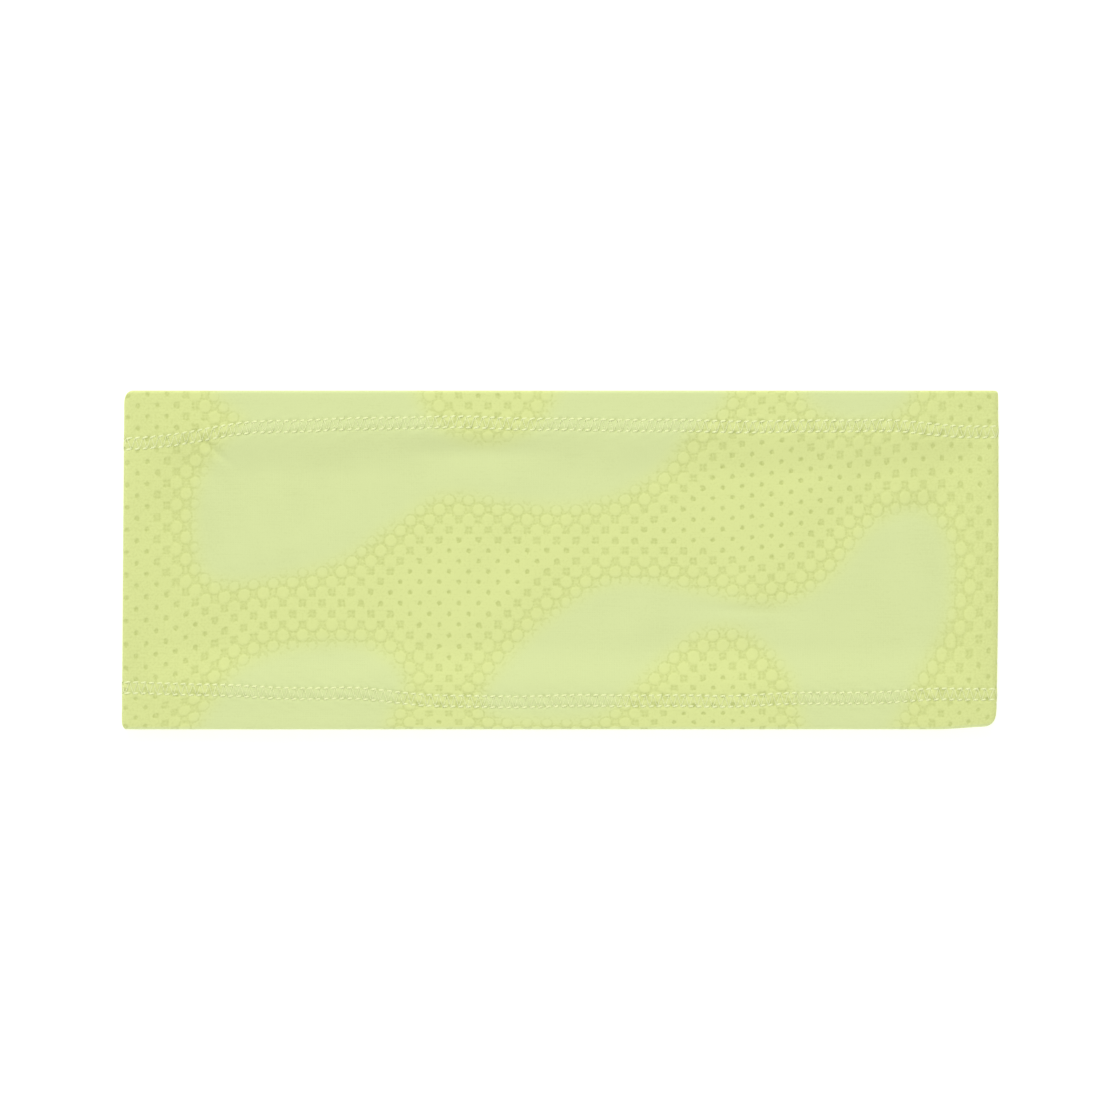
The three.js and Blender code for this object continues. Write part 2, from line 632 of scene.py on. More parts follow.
@dataclass(frozen=True)
class Halftone:
    """Flecks on a staggered lattice that turn into ringed cells towards each plain area."""

    columns: int = 90  # round the loop
    column: float = 5.2  # millimetres between flecks along a row
    row: float = 2.75  # millimetres between rows
    first_column: float = 32.9
    first_row: float = 13.4
    rise_left: float = 3.4  # rows climb to the right near the left fold
    rise_right: float = 2.4  # and again right of the middle

    def lattice(self, path: LoopPath, u: np.ndarray, v: np.ndarray) -> tuple[np.ndarray, np.ndarray]:
        """Diagonal lattice coordinates of places on the cloth.

        A column coordinate counts half periods along a row and a row coordinate counts rows. Rows
        climb where the cloth was pulled, spread near the folds, and close up in the bottom hem.
        Columns close up towards the right fold and open again behind it. Half the sum and half the
        difference of the two are whole numbers at each fleck, and halves at each cell.

        Args:
            path: the loop.
            u: along the loop, in metres.
            v: across the cloth, in metres.
        Returns:
            The two diagonal coordinates.
        """
        x = u / MM
        y = v / MM
        climb = self.rise_left * ARRAYS.smooth(x, -118, -72) + self.rise_right * ARRAYS.smooth(x, 34, 76)
        whole = 2 * self.row
        climb = climb + (whole - self.rise_left - self.rise_right) * ARRAYS.smooth(x, 125, 225)
        y = y + 0.04 * np.clip(-y - 8, 0, 22) - 0.22 * np.maximum(-y - 33, 0)
        y = y - 0.2 * (y - 12) * np.exp(-(((x - 104) / 28) ** 2))
        y = y - 0.08 * y * np.exp(-(((x + 112) / 20) ** 2))
        x = x + 2.2 * (ARRAYS.smooth(x, 70, 118) - ARRAYS.smooth(x, 125, 225))
        across = 2 * self.columns * x * MM / path.length - 2 * self.first_column / self.column
        up = (y - climb - self.first_row) / self.row + self.rise_left / self.row
        return (across + up) / 2, (across - up) / 2

    def marks(self, maths: Maths, s: Any, t: Any, outside: Any) -> tuple[Any, Any, Any]:
        """How strongly each mark shows at a place.

        A fleck is a mark about a lattice point: far out a round dot, and nearer the cells a square of
        two by two stitches. A cell is a ring about the middle of four flecks. It grows until it
        touches its neighbours, and further out gives way to the flecks.

        Args:
            maths: the arithmetic to use.
            s: first diagonal lattice coordinate.
            t: second diagonal lattice coordinate.
            outside: millimetres outside the nearest plain area.
        Returns:
            Fleck, ring and dome of the cell, each from 0 to 1.
        """
        half_column = self.column / 2
        ds = s - maths.nearest(s)
        dt = t - maths.nearest(t)
        x = maths.size(ds + dt) * half_column
        y = maths.size(ds - dt) * self.row
        far = maths.smooth(outside, 11.2, 14.0)
        square = maths.larger(x, y)
        circle = maths.root(x * x + y * y)
        reach = square + (circle - square) * far
        body = 1 - maths.smooth(reach + 0.45 * far, 0.8, 1.3)
        stitches = 0.72 - 0.14 * (maths.wave(x / 1.1) + maths.wave(y / 1.1))
        fleck = body * (stitches + (1.0 - stitches) * far) * (0.75 + 0.25 * far)
        fleck = fleck * (0.45 * maths.smooth(outside, 1.5, 4.5) + 0.55 * maths.smooth(outside, 5.5, 8.5))
        s_cell = s + 0.5
        t_cell = t + 0.5
        ds = s_cell - maths.nearest(s_cell)
        dt = t_cell - maths.nearest(t_cell)
        x = (ds + dt) * half_column
        y = (ds - dt) * self.row
        grown = maths.smooth(outside, -0.5, 4.0)
        from_ring = maths.root(x * x + y * y) - (0.95 + 0.9 * grown)
        shows = maths.smooth(outside, -1.2, 3.4) * (1 - maths.smooth(outside, 6.0, 9.0))
        ring = (1 - maths.smooth(maths.size(from_ring), 0.1, 0.5)) * shows
        dome = (1 - maths.smooth(from_ring, -0.75, -0.3)) * (0.6 + 0.4 * maths.smooth(from_ring, -1.6, -0.9))
        dome = dome * shows
        return fleck, ring, dome


# ---- How the cloth lies ----


@dataclass(frozen=True)
class Crease:
    """A soft ridge, or a valley where its height is negative, in millimetres on the front."""

    u: float
    v: float
    half_length: float
    half_width: float
    turn: float  # degrees from +u
    height: float

    def lift(self, u: np.ndarray, v: np.ndarray) -> np.ndarray:
        """Height times a bell along the crease and a bell across it.

        Args:
            u: along the loop, in millimetres.
            v: across the band, in millimetres.
        Returns:
            Millimetres outwards.
        """
        c, s = math.cos(math.radians(self.turn)), math.sin(math.radians(self.turn))
        along = ((u - self.u) * c + (v - self.v) * s) / self.half_length
        across = ((v - self.v) * c - (u - self.u) * s) / self.half_width
        return self.height * np.exp(-(along**2) - across**2)


@dataclass(frozen=True)
class Corner:
    """How far back a corner of the folded band is rounded, and how far its edge is drawn in."""

    side: int  # 1 right, -1 left
    end: int  # 1 top, -1 bottom
    radius: float
    draw: float  # the edge comes in by this much towards the fold
    draw_length: float


@dataclass
class Drape:
    """The lie of the cloth: it sags between the hems, creases, and is not quite square."""

    path: LoopPath
    sag: float = 1.35 * MM
    hem_reach: float = 12 * MM
    creases: tuple[Crease, ...] = (
        Crease(-22, 29.5, 19, 4.0, 0, -0.74),
        Crease(-20, 22, 26, 5.0, 3, 0.22),
        Crease(-28, 36, 16, 3.2, 0, 0.45),
        Crease(41, 31, 9, 2.6, 8, -0.25),
        Crease(-92.5, 29.5, 5, 1.2, -40, -0.5),
        Crease(-105, 12, 6, 9, 70, -0.35),
        Crease(100, 30, 8, 9, 80, -0.40),
        Crease(93, 13, 11, 3.2, 12, -0.25),
        Crease(50, -13.4, 12, 1.6, -2, -0.24),
        Crease(-72, -47, 26, 6.0, 0, 1.6),
        Crease(-74, 2, 12, 5, 20, 0.25),
        Crease(20, -18, 14, 4.5, 25, 0.15),
        Crease(66, -21, 13, 4.0, -8, 0.13),
        Crease(-30, -20, 26, 6.0, 32, 0.22),
        Crease(72, 22, 24, 6.5, 28, 0.20),
    )
    corners: tuple[Corner, ...] = (
        Corner(-1, 1, 2.5 * MM, 0.0, 10 * MM),
        Corner(1, 1, 0.4 * MM, 0.0, 10 * MM),
        Corner(1, -1, 3.4 * MM, 0.8 * MM, 17 * MM),
        Corner(-1, -1, 1.3 * MM, 0.0, 10 * MM),
    )

    def ripple(self, u: np.ndarray, v: np.ndarray) -> np.ndarray:
        """Slight unevenness everywhere: the sum of a few long sine waves of unlike pitch.

        Args:
            u: along the loop, in metres.
            v: across the band, in metres.
        Returns:
            Metres outwards.
        """
        waves = ((31, 0.9, 0.06), (-17, 2.1, 0.035), (54, 4.2, 0.05), (23, -3.3, 0.04))
        x = TURN * u / self.path.length
        y = TURN * v / (2 * self.path.edge)
        lift = sum(
            size * np.sin(count * x + lean * y + number) for number, (count, lean, size) in enumerate(waves)
        )
        return lift * MM

    def lift(self, u: np.ndarray, v: np.ndarray) -> np.ndarray:
        """How far the cloth lies off its resting height, outwards.

        The front drops by the sag between the hems and away from the folds, and has creases. Both
        layers ripple a little, the hems less than the middle.

        Args:
            u: along the loop, in metres.
            v: across the band, in metres.
        Returns:
            Metres outwards.
        """
        path = self.path
        from_hem = path.edge - self.hem_reach - np.abs(v)
        between = ARRAYS.smooth(from_hem, -2.0 * MM, 11 * MM)
        from_fold = path.fold_x - np.abs(u)
        front = ARRAYS.smooth(from_fold, 0.0, 15 * MM)
        fade = ARRAYS.smooth(from_fold, 0.0, 6 * MM)
        creased = sum(crease.lift(u / MM, v / MM) for crease in self.creases) * MM * fade
        soft = ARRAYS.smooth(from_hem, -3 * MM, 6 * MM)
        crease_here = creased * (0.25 + 0.75 * soft)
        return -self.sag * between * front + crease_here + self.ripple(u, v) * (0.35 + 0.65 * soft) * fade

    def settle(self, u: np.ndarray, v: np.ndarray, r: np.ndarray) -> np.ndarray:
        """Points of loop coordinates where the cloth really lies.

        Args:
            u: along the loop, in metres.
            v: across the band, in metres, out to its hem edges.
            r: out from the middle plane, before the cloth sags.
        Returns:
            An array of x, y, z in its last axis.
        """
        place = self.path.place(u, v, r + self.lift(u, v))
        x, y, z = (place[..., axis] for axis in range(3))
        return np.stack([x + self.lean(x, y), y + self.draw_in(x, y), z], axis=-1)

    def lean(self, x: np.ndarray, y: np.ndarray) -> np.ndarray:
        """The folds are not quite upright: the left one leans in at its top, the right one bows.

        With height from -1 at the bottom edge to 1 at the top one, the left fold moves by
        (height + 1) ^ 1.2, and the right one by 1 - height^2, less where it is low.

        Args:
            x: along the flattened band, in metres.
            y: across it.
        Returns:
            Metres towards +x.
        """
        height = y / self.path.edge
        left = 0.28 * MM * np.maximum(height + 1, 0) ** 1.2
        right = 0.35 * MM * (1 - height**2) - 0.25 * MM * (1 - height)
        near = ARRAYS.smooth(np.abs(x), 80 * MM, 114 * MM)
        return np.where(x < 0, left, right) * near

    def draw_in(self, x: np.ndarray, y: np.ndarray) -> np.ndarray:
        """Each corner is rounded: its edge falls back by radius - sqrt(radius^2 - way round^2).

        Args:
            x: along the flattened band, in metres.
            y: across it.
        Returns:
            Metres towards +y.
        """
        outermost = self.path.fold_x + self.path.outer
        shift = np.zeros(np.broadcast(x, y).shape)
        for corner in self.corners:
            at_edge = ARRAYS.smooth(corner.end * y, self.path.edge - 9 * MM, self.path.edge)
            way_round = np.clip(corner.side * x - (outermost - corner.radius), 0, corner.radius)
            fall = corner.radius - np.sqrt(np.maximum(corner.radius**2 - way_round**2, 0))
            drawn = corner.draw * ARRAYS.smooth(corner.side * x, outermost - corner.draw_length, outermost)
            shift = shift - corner.end * at_edge * (fall + drawn)
        return shift


# ---- Meshes ----


def new_piece(
    name: str,
    points: np.ndarray,
    quads: np.ndarray,
    caps: Sequence[Sequence[int]],
    maps: dict[str, np.ndarray],
    numbers: dict[str, np.ndarray],
    material: bpy.types.Material,
    normals: np.ndarray | None = None,
) -> bpy.types.Object:
    """Makes a mesh object at the origin.

    Args:
        name: the piece's name.
        points: vertices, one a row.
        quads: four-cornered faces, as vertex numbers.
        caps: faces of any size, which meet their neighbours at a sharp edge.
        maps: UV layers, each with a row for each vertex.
        numbers: point attributes, each with a number for each vertex.
        material: its finish.
        normals: the smooth surface's normal at each vertex, if they are not to be worked out.
    Returns:
        The new object.
    """
    mesh = bpy.data.meshes.new(name)
    ends = np.array([len(cap) for cap in caps], int)
    corners = np.concatenate([quads.ravel(), *[np.asarray(cap) for cap in caps]]).astype(np.int32)
    counts = np.concatenate([np.full(len(quads), 4), ends]).astype(np.int32)
    mesh.vertices.add(len(points))
    mesh.vertices.foreach_set("co", points.astype(np.float32).ravel())
    mesh.loops.add(len(corners))
    mesh.loops.foreach_set("vertex_index", corners)
    mesh.polygons.add(len(counts))
    starts = np.concatenate([[0], np.cumsum(counts)[:-1]]).astype(np.int32)
    mesh.polygons.foreach_set("loop_start", starts)
    mesh.update(calc_edges=True)
    mesh.polygons.foreach_set("use_smooth", np.arange(len(counts)) < len(quads))
    for layer, places in maps.items():
        uv = mesh.uv_layers.new(name=layer)
        uv.uv.foreach_set("vector", places[corners].astype(np.float32).ravel())
    for attribute, values in numbers.items():
        made = mesh.attributes.new(attribute, "FLOAT", "POINT")
        made.data.foreach_set("value", values.astype(np.float32))
    mesh.materials.append(material)
    mesh.validate()
    if normals is not None:
        at_corners = np.zeros((len(corners), 3), np.float32)  # zero keeps a cap's own normal
        at_corners[: quads.size] = normals[quads.ravel()]
        mesh.normals_split_custom_set(at_corners)
    piece = bpy.data.objects.new(name, mesh)
    bpy.context.scene.collection.objects.link(piece)
    return piece


def ring_quads(rings: int, around: int) -> np.ndarray:
    """Faces of a grid of rings of points, closed round each ring.

    Face i, j has the corners (i, j), (i, j + 1), (i + 1, j + 1) and (i + 1, j), and the last j is
    joined to the first.

    Args:
        rings: rings along the grid.
        around: points round each ring.
    Returns:
        Vertex numbers, four a row.
    """
    ring = np.arange(rings - 1)[:, None] * around
    here = np.arange(around)[None, :]
    after = (here + 1) % around
    corners = [ring + here, ring + after, ring + around + after, ring + around + here]
    return np.stack(np.broadcast_arrays(*corners), axis=-1).reshape(-1, 4)


def grid_normals(points: np.ndarray) -> np.ndarray:
    """Outward normals of a grid of rings, less its first and last ring.

    A normal is the cross product of the steps between its neighbours round and along the grid.

    Args:
        points: by ring, place round the ring, and x, y, z.
    Returns:
        Unit normals with two rings fewer.
    """
    along = points[2:] - points[:-2]
    around = (np.roll(points, -1, axis=1) - np.roll(points, 1, axis=1))[1:-1]
    normal = np.cross(around, along)
    return normal / np.maximum(np.linalg.norm(normal, axis=-1, keepdims=True), 1e-12)


@dataclass(frozen=True)
class ClothSection:
    """The cloth's section from hem to hem, both edges turned in, as points round its outline."""

    v: np.ndarray
    r: np.ndarray
    normal_v: np.ndarray
    normal_r: np.ndarray
    cloth_v: np.ndarray  # the place across the cloth before its edges were turned
    skin: np.ndarray  # 1 where the outer face's relief shows
    turned: np.ndarray  # 1 at the end of the turned-in edge, falling to 0 at the bight

    @classmethod
    def half(cls, v: Any, r: Any, normal: Any, cloth_v: Any, skin: Any, turned: Any) -> np.ndarray:
        """A stretch of the top half, as its seven fields stacked.

        Args:
            v: across the band, at each point.
            r: out from the middle plane; this and the rest may be one number for all.
            normal: the outward normal's parts along v and r.
            cloth_v: the place across the cloth before its edges were turned.
            skin: 1 where the outer face's relief shows.
            turned: 1 at the end of the turned-in edge, falling to 0 at the bight.
        Returns:
            A row for each field.
        """
        fields = (v, r, normal[0], normal[1], cloth_v, skin, turned)
        return np.stack(np.broadcast_arrays(*(np.asarray(part, float) for part in fields)))

    @classmethod
    def mirrored(cls, top: np.ndarray, outer: float, inner: float) -> "ClothSection":
        """The whole section: the top half, and the same with v and its normal turned over.

        Args:
            top: the top half's fields, from the inner face to the outer one.
            outer: level of the outer face's middle.
            inner: level of the inner face's middle.
        Returns:
            The section.
        """
        flip = np.array([-1, 1, -1, 1, -1, 1, 1])[:, None]
        middle_outer = cls.half([0], outer, (0, 1), 0, 1, 0)
        middle_inner = cls.half([0], inner, (0, -1), 0, 0, 0)
        return cls(*np.concatenate([middle_inner, top, middle_outer, (top * flip)[:, ::-1]], axis=1))


@dataclass
class KnitTube:
    """The seamless knitted tube, as one piece of cloth for each span."""

    path: LoopPath
    drape: Drape
    areas: PlainAreas
    halftone: Halftone
    material: bpy.types.Material
    plan: HemPlan
    turn_gap: float = 0.1 * MM
    cell: float = 0.32 * MM  # the outer face's mesh
    coarse: float = 2.5 * MM  # the inner face's mesh across the band
    bight_steps: int = 12  # round each hem's edge
    flap_points: int = 6  # across a turned-in edge
    fold_points: int = 15  # round a fold, to half way

    def section(self) -> ClothSection:
        """The outline, anticlockwise with v to the right and r up.

        The outer face runs from the top bight down to the bottom bight, each bight is a half round,
        and the turned-in edge lies a small gap inside the knit.

        Returns:
            The outline's points.
        """
        outer = self.path.outer
        inner = self.path.inner
        turn_outer = inner - self.turn_gap
        turn_inner = turn_outer - KNIT_THICKNESS
        bight = (outer - turn_inner) / 2
        bight_v = self.path.edge - bight
        face = np.linspace(bight_v, 0, int(round(bight_v / self.cell)), endpoint=False)
        angle = np.linspace(-math.pi / 2, math.pi / 2, self.bight_steps + 1)[1:-1]
        flap = np.linspace(self.path.edge - self.plan.depth, bight_v, self.flap_points)
        turned = np.linspace(1, 0, self.flap_points)
        back = np.linspace(0, bight_v, int(bight_v / self.coarse))[1:]
        half = ClothSection.half
        round_v = bight_v + bight * np.cos(angle)
        round_r = turn_inner + bight + bight * np.sin(angle)
        round_cloth = bight_v + bight * (math.pi / 2 - angle)
        flap_cloth = bight_v + bight * math.pi + (bight_v - flap)
        out = (np.cos(angle), np.sin(angle))
        parts = [
            half(back, inner, (0, -1), back, 0, 0),
            half(flap[::-1], turn_outer, (0, 1), flap[::-1], 0, turned[::-1]),
            half(flap, turn_inner, (0, -1), flap_cloth, 0, turned),
            half(round_v, round_r, out, round_cloth, (np.sin(angle) + 1) / 2, 0),
            half(face, outer, (0, 1), face, 1, 0),
        ]
        return ClothSection.mirrored(np.concatenate(parts, axis=1), outer, inner)

    def stations(self, span: Span) -> np.ndarray:
        """Places along a span: a fine even step, and finer round a fold.

        Args:
            span: the stretch of the loop.
        Returns:
            u of each station.
        """
        apex = self.path.apex
        start, end = span.start, span.end
        bend = self.path.wrap / 2
        fold_steps = np.linspace(0, bend, self.fold_points)
        if math.isclose(abs(start), apex):
            flat = np.linspace(start + bend, end, int(round((end - start - bend) / self.cell)))
            return np.concatenate([start + fold_steps[:-1], flat])
        if math.isclose(abs(end), apex):
            flat = np.linspace(start, end - bend, int(round((end - start - bend) / self.cell)))
            return np.concatenate([flat, end - bend + fold_steps[1:]])
        return np.linspace(start, end, int(round((end - start) / self.cell)))

    def from_rows(self, u: np.ndarray, v: np.ndarray) -> tuple[np.ndarray, np.ndarray]:
        """How far places on the cloth lie inside the outer and the inner needle row.

        Args:
            u: along the loop.
            v: across the cloth.
        Returns:
            Millimetres from each of the two rows, away from the hem's edge.
        """
        side = np.sign(v)
        from_edge = self.path.edge - np.abs(v) + side * self.plan.wander(self.path.foot(u), side)
        return (from_edge - self.plan.outer_inset) / MM, (from_edge - self.plan.inner_inset) / MM

    def holes(self, u: np.ndarray, v: np.ndarray) -> np.ndarray:
        """How deep places lie in a needle hole: a bell round each end of every stitch.

        Args:
            u: along the loop.
            v: across the cloth.
        Returns:
            From 0 to 1 in the middle of a hole.
        """
        pitch = self.path.length / self.plan.stitches
        in_stitch = u / pitch - np.round(u / pitch)
        rows = self.from_rows(u, v)
        return sum(np.exp(-((row / 0.42) ** 2) - (in_stitch / 0.19) ** 2) for row in rows)

    def relief(self, u: np.ndarray, v: np.ndarray, marks: tuple[np.ndarray, ...]) -> np.ndarray:
        """The outer face's relief, outwards in metres.

        Flecks and rings are sunk and cells stand up. Each stitched row runs in a slight groove with
        a pit at every needle hole, and the cloth stands up between the rows and puckers beside them.

        Args:
            u: along the loop.
            v: across the cloth.
            marks: fleck, ring and dome.
        Returns:
            Metres outwards.
        """
        fleck, ring, dome = marks
        outer_row, inner_row = self.from_rows(u, v)
        between = (outer_row + inner_row) / 2
        lift = 0.03 * dome - 0.05 * fleck - 0.025 * ring - 0.18 * self.holes(u, v)
        lift = lift - 0.02 * np.exp(-((outer_row / 0.6) ** 2)) - 0.02 * np.exp(-((inner_row / 0.6) ** 2))
        lift = lift + 0.05 * np.exp(-((between / 0.9) ** 2))
        pucker = np.sin(TURN * u * self.plan.stitches / (self.path.length * 3.1) + 2.1 * between)
        edge_roll = np.exp(-(((np.abs(v) - self.path.edge + 2.2 * MM) / (1.6 * MM)) ** 2))
        return (lift + 0.04 * pucker * np.exp(-((between / 3.6) ** 2)) + 0.05 * edge_roll) * MM

    def build(self, span: Span) -> bpy.types.Object:
        """Makes one span of cloth: its section carried along the loop, closed by a cap at each end.

        One station more is worked out beyond each end, so that the normals of neighbouring spans
        agree where they meet.

        Args:
            span: the stretch of the loop.
        Returns:
            The piece.
        """
        section = self.section()
        inside = self.stations(span)
        beyond = [2 * inside[0] - inside[1], *inside, 2 * inside[-1] - inside[-2]]
        u, cloth_v = np.meshgrid(np.array(beyond), section.cloth_v, indexing="ij")
        outside = self.areas.at(u, cloth_v)
        s, t = self.halftone.lattice(self.path, u, cloth_v)
        lift = self.relief(u, cloth_v, self.halftone.marks(ARRAYS, s, t, outside)) * section.skin
        strays = self.plan.wander(self.path.foot(u), np.sign(section.v)) * section.turned
        v = section.v + strays + section.normal_v * lift
        points = self.drape.settle(u, v, section.r + section.normal_r * lift)
        normals = grid_normals(points).reshape(-1, 3)
        rings, around = len(inside), len(section.v)
        quads = ring_quads(rings, around)
        first = np.arange(around)[::-1]
        last = np.arange(around) + (rings - 1) * around
        maps = {
            "weave": np.stack([s, t], axis=-1)[1:-1].reshape(-1, 2),
            "cloth": np.stack([u / MM, cloth_v / MM], axis=-1)[1:-1].reshape(-1, 2),
        }
        numbers = {
            "outside": outside[1:-1].ravel(),
            "face": np.tile(section.skin, rings),
            "hole": self.holes(u, cloth_v)[1:-1].ravel(),
        }
        piece = new_piece(
            f"knit_{span.name}",
            points[1:-1].reshape(-1, 3),
            quads,
            [first, last],
            maps,
            numbers,
            self.material,
            normals,
        )
        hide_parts(*(f"knit_{place}" for place in span.places))
        developed = 2 * (self.path.edge + self.plan.depth)
        span.end - span.start
        span.attach(piece)
        return piece


@dataclass(frozen=True)
class Strand:
    """A zigzag thread's size, and where in a stitch it starts."""

    half_width: float
    half_height: float
    shift: float


class Thread(Enum):
    """The four threads of a coverstitched hem."""

    OUTER_NEEDLE = "outer_needle_thread"
    INNER_NEEDLE = "inner_needle_thread"
    COVER = "cover_thread"
    LOOPER = "looper_thread"


@dataclass
class CoverstitchedHem:
    """One hem's stitching: two needle rows, the cover thread between, and the looper inside."""

    path: LoopPath
    drape: Drape
    edge_name: str
    side: int  # 1 top, -1 bottom
    material: bpy.types.Material
    plan: HemPlan
    sides: int = 6  # round a thread
    arch_points: int = 8  # along a needle stitch
    zigzag_steps: int = 10  # to a stitch
    needle_half_width: float = 0.28 * MM
    needle_half_height: float = 0.09 * MM
    cover: Strand = Strand(0.12 * MM, 0.05 * MM, 0.0)
    looper: Strand = Strand(0.17 * MM, 0.045 * MM, 0.5)

    @property
    def pitch(self) -> float:
        """Length of one stitch."""
        return self.path.length / self.plan.stitches

    def row(self, u: np.ndarray, inset: float) -> np.ndarray:
        """v of a row that keeps its inset from the hem's edge, and strays as both rows do."""
        strays = self.plan.wander(self.path.foot(u), np.asarray(self.side))
        return self.side * (self.path.edge - inset) + strays

    def tube(
        self, u: np.ndarray, v: np.ndarray, r: np.ndarray, half_width: np.ndarray, half_height: np.ndarray
    ) -> np.ndarray:
        """Points of oval tubes along paths that run mostly along the loop.

        Each ring is the centre plus half_width * cos(a) across the path and half_height * sin(a)
        outwards.

        Args:
            u: centre lines along the loop; the last axis is the way along a tube.
            v: the same across the band.
            r: the same outwards.
            half_width: half the tube's width at each place.
            half_height: half its height.
        Returns:
            Points with two more axes: round the tube, and x, y, z.
        """
        along_u = np.gradient(u, axis=-1)
        along_v = np.gradient(v, axis=-1)
        length = np.hypot(along_u, along_v)
        across_u, across_v = -along_v / length, along_u / length
        angle = np.arange(self.sides) * TURN / self.sides
        wide = half_width[..., None] * np.cos(angle)
        high = half_height[..., None] * np.sin(angle)
        ring_u = u[..., None] + across_u[..., None] * wide
        ring_v = v[..., None] + across_v[..., None] * wide
        return self.drape.settle(ring_u, ring_v, r[..., None] + high)

    def needle_row(self, span: Span, inset: float) -> tuple[np.ndarray, ...]:
        """Stitches of one needle row: each an arch of thread that dives into a hole at both ends.

        Along a stitch t runs from -1 to 1. Its height is 1 - t^4 of the arch, it is thickest in the
        middle, and it leans a little across the row.

        Args:
            span: the stretch of the loop.
            inset: the row's distance from the hem's edge.
        Returns:
            Points, faces, caps and the map round each thread.
        """
        first = math.ceil(span.start / self.pitch - 0.5)
        last = math.ceil(span.end / self.pitch - 0.5)
        number = np.arange(first, last)[:, None] + 0.5
        t = np.linspace(-1, 1, self.arch_points)[None, :]
        uneven = np.sin(number * 12.9898) * 0.5
        u = (number + 0.37 * t) * self.pitch
        v = self.row(u, inset) + (0.15 * t + 0.05 * uneven) * MM
        arch = 1 - t**4
        r = self.path.outer + (0.14 * arch + 0.02 * uneven - 0.12) * MM
        body = np.sqrt(np.maximum(1 - 0.86 * t**2, 0.0))
        half_width = np.broadcast_to(self.needle_half_width * body * (1 + 0.10 * uneven), u.shape)
        half_height = np.broadcast_to(self.needle_half_height * body, u.shape)
        return self.as_faces(self.tube(u, v, np.broadcast_to(r, u.shape), half_width, half_height), u, v)

    def zigzag(self, span: Span, reach: float, level: float, strand: Strand) -> tuple[Any, ...]:
        """A thread that crosses between the rows and back in each stitch.

        Across the band it follows reach * sin of the way through a stitch, sharpened towards a
        triangle, so it turns quickly at each row.

        Args:
            span: the stretch of the loop.
            reach: how far it goes to each side of the rows' middle.
            level: its distance out from the middle plane.
            strand: the thread's size, and where in a stitch it starts.
        Returns:
            Points, faces, caps and the map round the thread.
        """
        count = int(round((span.end - span.start) / self.pitch * self.zigzag_steps))
        u = np.linspace(span.start, span.end, count)[None, :]
        phase = TURN * (u / self.pitch + strand.shift)
        swing = np.arcsin(0.96 * np.sin(phase)) / math.asin(0.96)
        v = self.row(u, self.plan.middle_inset) + self.side * reach * swing
        r = np.full(u.shape, level)
        wide = np.full(u.shape, strand.half_width)
        high = np.full(u.shape, strand.half_height)
        return self.as_faces(self.tube(u, v, r, wide, high), u, v)

    def as_faces(self, tubes: np.ndarray, u: np.ndarray, v: np.ndarray) -> tuple[np.ndarray, ...]:
        """Faces of a batch of tubes.

        Args:
            tubes: points by tube, ring, place round the ring, and x, y, z.
            u: centre lines, for the map.
            v: the same across the band.
        Returns:
            Points, faces, caps, and a map of the way along and round.
        """
        count, rings, around, _ = tubes.shape
        start = (np.arange(count) * rings * around)[:, None, None]
        quads = (ring_quads(rings, around)[None] + start).reshape(-1, 4)
        first = np.arange(around)[::-1][None, :] + start[:, 0]
        last = np.arange(around)[None, :] + (rings - 1) * around + start[:, 0]
        steps = (np.diff(line, axis=-1, prepend=line[:, :1]) for line in (u, v))
        travel = np.cumsum(np.hypot(*steps), axis=-1)
        turn = np.broadcast_to(np.arange(around) / around, tubes.shape[:3])
        along = np.broadcast_to((travel / MM)[..., None], tubes.shape[:3])
        places = np.stack([along, turn], axis=-1).reshape(-1, 2)
        return tubes.reshape(-1, 3), quads, [*first, *last], places

    def build(self, span: Span, thread: Thread) -> bpy.types.Object:
        """Makes one thread of this hem along one span.

        Args:
            span: the stretch of the loop.
            thread: which of the hem's threads.
        Returns:
            The piece.
        """
        half = (self.plan.inner_inset - self.plan.outer_inset) / 2
        if thread is Thread.OUTER_NEEDLE:
            made = self.needle_row(span, self.plan.outer_inset)
        elif thread is Thread.INNER_NEEDLE:
            made = self.needle_row(span, self.plan.inner_inset)
        elif thread is Thread.COVER:
            made = self.zigzag(span, half, self.path.outer + 0.065 * MM, self.cover)
        else:
            made = self.zigzag(span, half + 0.55 * MM, 0.055 * MM, self.looper)
        points, quads, caps, places = made
        name = f"{self.edge_name}_{thread.value}_{span.name}"
        piece = new_piece(name, points, quads, caps, {"ply": places}, {}, self.material)
        stands_for = [self.cad_node(thread, place) for place in span.places]
        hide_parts(*stands_for)
        span.attach(piece)
        return piece

    def cad_node(self, thread: Thread, place: str) -> str:
        """The CAD node of a thread; round a fold all of a hem's threads are one node.

        Args:
            thread: which of the hem's threads.
            place: the CAD place.
        Returns:
            The node's name.
        """
        if place.endswith("_fold"):
            return f"{self.edge_name}_stitching_{place}"
        return f"{self.edge_name}_{thread.value}_{place}"


# ---- Finishes ----


